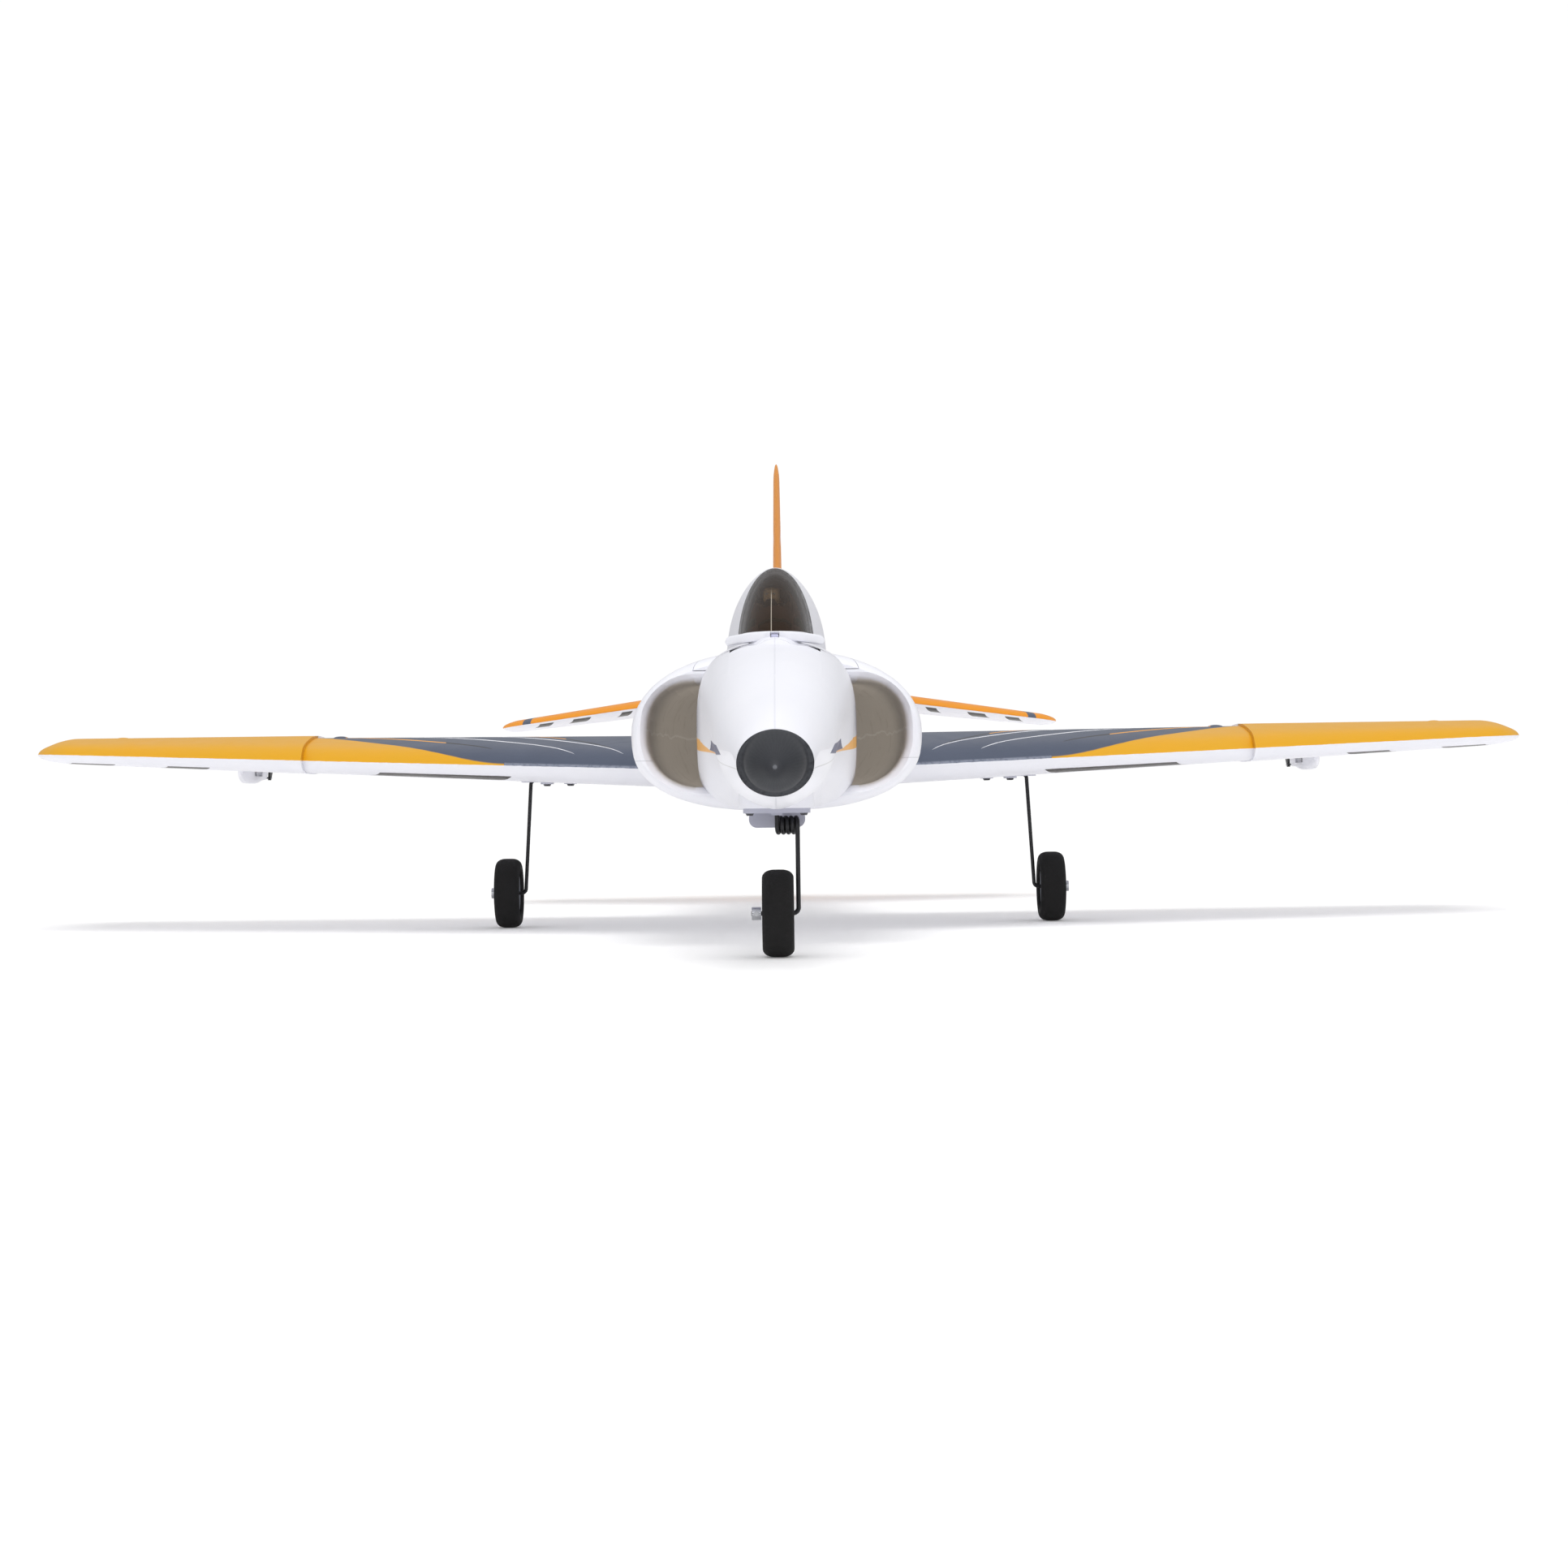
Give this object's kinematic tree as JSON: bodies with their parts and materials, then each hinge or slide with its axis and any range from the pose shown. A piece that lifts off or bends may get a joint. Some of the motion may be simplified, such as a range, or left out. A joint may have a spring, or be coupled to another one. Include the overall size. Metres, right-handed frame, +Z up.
{
  "type": "rc jet plane",
  "caption": "Ducted-fan radio-controlled model jet with fixed tricycle gear, lift-off canopy hatch, steerable nose wheel and moving control surfaces.",
  "frame": {"origin": "on the ground under the middle of the plane's length, on the centreline", "axes": "+Z up, +Y towards the tail, +X towards the left wing tip"},
  "size_m": [1.0354, 1.23, 0.3711],
  "materials": {
    "foam_white": "painted moulded foam",
    "nose_grey": "painted moulded foam",
    "wing_foam": "painted moulded foam",
    "tail_foam": "painted moulded foam",
    "aileron_foam": "painted moulded foam",
    "hatch_foam": "painted moulded foam",
    "fan_plastic": "moulded nylon",
    "motor_metal": "anodised",
    "duct_plastic": "thin rolled sheet",
    "battery_wrap": "shrink-wrapped cells",
    "controller_metal": "finned heat sink",
    "receiver_case": "satin",
    "spar_carbon": "carbon tube",
    "gear_wire": "darkened spring wire",
    "mount_plastic": "satin",
    "white_plastic": "satin",
    "servo_case": "satin",
    "pin_steel": "drawn wire",
    "rod_steel": "drawn wire",
    "collar_steel": "turned",
    "screw_steel": "blackened",
    "canopy_glass": "smoked, glossy",
    "cockpit_brown": "matte",
    "pilot_suit": "painted",
    "latch_plastic": "satin",
    "rotor_plastic": "moulded nylon",
    "horn_plastic": "moulded nylon",
    "tyre_foam": "dense foam rubber",
    "hub_plastic": "moulded nylon"
  },
  "bodies": {
    "airframe": {"fuselage_left": "foam_white", "fuselage_right": "foam_white", "nose_cone": "nose_grey", "fan_shroud": "fan_plastic", "fan_motor": "motor_metal", "thrust_tube": "duct_plastic", "battery_pack": "battery_wrap", "speed_controller": "controller_metal", "receiver": "receiver_case", "wing_left": "wing_foam", "wing_right": "wing_foam", "wing_spars": "spar_carbon", "stab_left": "tail_foam", "stab_right": "tail_foam", "fin": "tail_foam", "main_gear_legs": "gear_wire", "main_gear_mounts": "mount_plastic", "nose_gear_block": "white_plastic", "servos": "servo_case", "hinge_wires": "pin_steel", "main_wheel_collars": "collar_steel", "gear_screws": "screw_steel"},
    "hatch": {"canopy_hatch": "hatch_foam", "canopy_glass": "canopy_glass", "cockpit_tub": "cockpit_brown", "pilot": "pilot_suit"},
    "latch": {"hatch_latch": "latch_plastic"},
    "fan": {"fan_rotor": "rotor_plastic"},
    "nose_steering": {"nose_gear_leg": "gear_wire", "steering_arm": "horn_plastic", "nose_wheel_collar": "collar_steel"},
    "nose_wheel": {"nose_tyre": "tyre_foam", "nose_hub": "hub_plastic"},
    "main_wheel_left": {"main_tyre_left": "tyre_foam", "main_hub_left": "hub_plastic"},
    "main_wheel_right": {"main_tyre_right": "tyre_foam", "main_hub_right": "hub_plastic"},
    "aileron_left": {"aileron_left": "aileron_foam", "aileron_horn_left": "horn_plastic"},
    "aileron_right": {"aileron_right": "aileron_foam", "aileron_horn_right": "horn_plastic"},
    "elevator_left": {"elevator_left": "tail_foam", "elevator_horn_left": "horn_plastic"},
    "elevator_right": {"elevator_right": "tail_foam", "elevator_horn_right": "horn_plastic"},
    "rudder": {"rudder": "tail_foam", "rudder_horn": "horn_plastic"},
    "aileron_arm_left_link": {"aileron_arm_left": "horn_plastic"},
    "aileron_arm_right_link": {"aileron_arm_right": "horn_plastic"},
    "aileron_rod_left_link": {"aileron_rod_left": "rod_steel"},
    "aileron_rod_right_link": {"aileron_rod_right": "rod_steel"},
    "elevator_arm_left_link": {"elevator_arm_left": "horn_plastic"},
    "elevator_arm_right_link": {"elevator_arm_right": "horn_plastic"},
    "elevator_rod_left_link": {"elevator_rod_left": "rod_steel"},
    "elevator_rod_right_link": {"elevator_rod_right": "rod_steel"},
    "rudder_arm_link": {"rudder_arm": "horn_plastic"},
    "rudder_rod_link": {"rudder_rod": "rod_steel"},
    "steering_servo_arm_link": {"steering_servo_arm": "horn_plastic"},
    "steering_rod_link": {"steering_rod": "rod_steel"}
  },
  "joints": [
    {"name": "aileron_left_turn", "type": "hinge", "parent": "airframe", "child": "aileron_left", "pos_m": [0.3652, 0.09957, 0.1203], "axis": [0.9971, 0.0654, 0.0384], "range_deg": [-25, 25]},
    {"name": "aileron_arm_left_turn", "type": "hinge", "parent": "airframe", "child": "aileron_arm_left_link", "pos_m": [0.369, 0.0417, 0.1203], "axis": [0.9971, 0.0654, 0.0384], "range_deg": [-25, 25]},
    {"name": "aileron_rod_left_turn", "type": "hinge", "parent": "aileron_arm_left_link", "child": "aileron_rod_left_link", "pos_m": [0.36957, 0.04174, 0.10531], "axis": [0.9971, 0.0654, 0.0384], "range_deg": [-25, 25]},
    {"name": "aileron_right_turn", "type": "hinge", "parent": "airframe", "child": "aileron_right", "pos_m": [-0.3652, 0.09957, 0.1203], "axis": [0.9971, -0.0654, -0.0384], "range_deg": [-25, 25]},
    {"name": "aileron_arm_right_turn", "type": "hinge", "parent": "airframe", "child": "aileron_arm_right_link", "pos_m": [-0.369, 0.0417, 0.1203], "axis": [0.9971, -0.0654, -0.0384], "range_deg": [-25, 25]},
    {"name": "aileron_rod_right_turn", "type": "hinge", "parent": "aileron_arm_right_link", "child": "aileron_rod_right_link", "pos_m": [-0.36957, 0.04174, 0.10531], "axis": [0.9971, -0.0654, -0.0384], "range_deg": [-25, 25]},
    {"name": "elevator_left_turn", "type": "hinge", "parent": "airframe", "child": "elevator_left", "pos_m": [0.06032, 0.491, 0.16806], "axis": [0.9935, 0, -0.1142], "range_deg": [-20, 20]},
    {"name": "elevator_arm_left_turn", "type": "hinge", "parent": "airframe", "child": "elevator_arm_left_link", "pos_m": [0.06032, 0.445, 0.16806], "axis": [0.9935, 0, -0.1142], "range_deg": [-20, 20]},
    {"name": "elevator_rod_left_turn", "type": "hinge", "parent": "elevator_arm_left_link", "child": "elevator_rod_left_link", "pos_m": [0.05895, 0.445, 0.15614], "axis": [0.9935, 0, -0.1142], "range_deg": [-20, 20]},
    {"name": "elevator_right_turn", "type": "hinge", "parent": "airframe", "child": "elevator_right", "pos_m": [-0.06032, 0.491, 0.16806], "axis": [0.9935, 0, 0.1142], "range_deg": [-20, 20]},
    {"name": "elevator_arm_right_turn", "type": "hinge", "parent": "airframe", "child": "elevator_arm_right_link", "pos_m": [-0.06032, 0.445, 0.16806], "axis": [0.9935, 0, 0.1142], "range_deg": [-20, 20]},
    {"name": "elevator_rod_right_turn", "type": "hinge", "parent": "elevator_arm_right_link", "child": "elevator_rod_right_link", "pos_m": [-0.05895, 0.445, 0.15614], "axis": [0.9935, 0, 0.1142], "range_deg": [-20, 20]},
    {"name": "rudder_turn", "type": "hinge", "parent": "airframe", "child": "rudder", "pos_m": [0, 0.51557, 0.19295], "axis": [0, 0.1144, 0.9934], "range_deg": [-25, 25]},
    {"name": "rudder_arm_turn", "type": "hinge", "parent": "airframe", "child": "rudder_arm_link", "pos_m": [0, 0.47583, 0.19753], "axis": [0, 0.1144, 0.9934], "range_deg": [-25, 25]},
    {"name": "rudder_rod_turn", "type": "hinge", "parent": "rudder_arm_link", "child": "rudder_rod_link", "pos_m": [0.012, 0.47583, 0.19753], "axis": [0, 0.1144, 0.9934], "range_deg": [-25, 25]},
    {"name": "nose_steering_turn", "type": "hinge", "parent": "airframe", "child": "nose_steering", "pos_m": [0, -0.435, 0.095], "axis": [0, 0, 1], "range_deg": [-25, 25]},
    {"name": "steering_servo_turn", "type": "hinge", "parent": "airframe", "child": "steering_servo_arm_link", "pos_m": [0, -0.396, 0.1175], "axis": [0, 0, 1], "range_deg": [-25, 25]},
    {"name": "steering_rod_turn", "type": "hinge", "parent": "steering_servo_arm_link", "child": "steering_rod_link", "pos_m": [-0.0105, -0.396, 0.1175], "axis": [0, 0, 1], "range_deg": [-25, 25]},
    {"name": "nose_wheel_roll", "type": "hinge", "parent": "nose_steering", "child": "nose_wheel", "pos_m": [0, -0.435, 0.0235], "axis": [1, 0, 0], "continuous": true},
    {"name": "main_wheel_left_roll", "type": "hinge", "parent": "airframe", "child": "main_wheel_left", "pos_m": [0.185, -0.005, 0.0235], "axis": [1, 0, 0], "continuous": true},
    {"name": "main_wheel_right_roll", "type": "hinge", "parent": "airframe", "child": "main_wheel_right", "pos_m": [-0.185, -0.005, 0.0235], "axis": [1, 0, 0], "continuous": true},
    {"name": "fan_spin", "type": "hinge", "parent": "airframe", "child": "fan", "pos_m": [0, 0.0445, 0.131], "axis": [0, 1, 0], "continuous": true},
    {"name": "hatch_lift", "type": "slide", "parent": "airframe", "child": "hatch", "axis": [0, 0, 1], "range_m": [0, 0.08]},
    {"name": "latch_slide", "type": "slide", "parent": "hatch", "child": "latch", "axis": [0, 1, 0], "range_m": [0, 0.003]}
  ],
  "couplings": [
    {"joint": "aileron_arm_left_turn", "follows": "aileron_left_turn", "ratio": 1},
    {"joint": "aileron_rod_left_turn", "follows": "aileron_left_turn", "ratio": -1},
    {"joint": "aileron_right_turn", "follows": "aileron_left_turn", "ratio": -1},
    {"joint": "aileron_arm_right_turn", "follows": "aileron_left_turn", "ratio": -1},
    {"joint": "aileron_rod_right_turn", "follows": "aileron_left_turn", "ratio": 1},
    {"joint": "elevator_arm_left_turn", "follows": "elevator_left_turn", "ratio": 1},
    {"joint": "elevator_rod_left_turn", "follows": "elevator_left_turn", "ratio": -1},
    {"joint": "elevator_right_turn", "follows": "elevator_left_turn", "ratio": 1},
    {"joint": "elevator_arm_right_turn", "follows": "elevator_left_turn", "ratio": 1},
    {"joint": "elevator_rod_right_turn", "follows": "elevator_left_turn", "ratio": -1},
    {"joint": "rudder_arm_turn", "follows": "rudder_turn", "ratio": 1},
    {"joint": "rudder_rod_turn", "follows": "rudder_turn", "ratio": -1},
    {"joint": "nose_steering_turn", "follows": "rudder_turn", "ratio": -1},
    {"joint": "steering_servo_turn", "follows": "rudder_turn", "ratio": -1},
    {"joint": "steering_rod_turn", "follows": "rudder_turn", "ratio": 1}
  ]
}
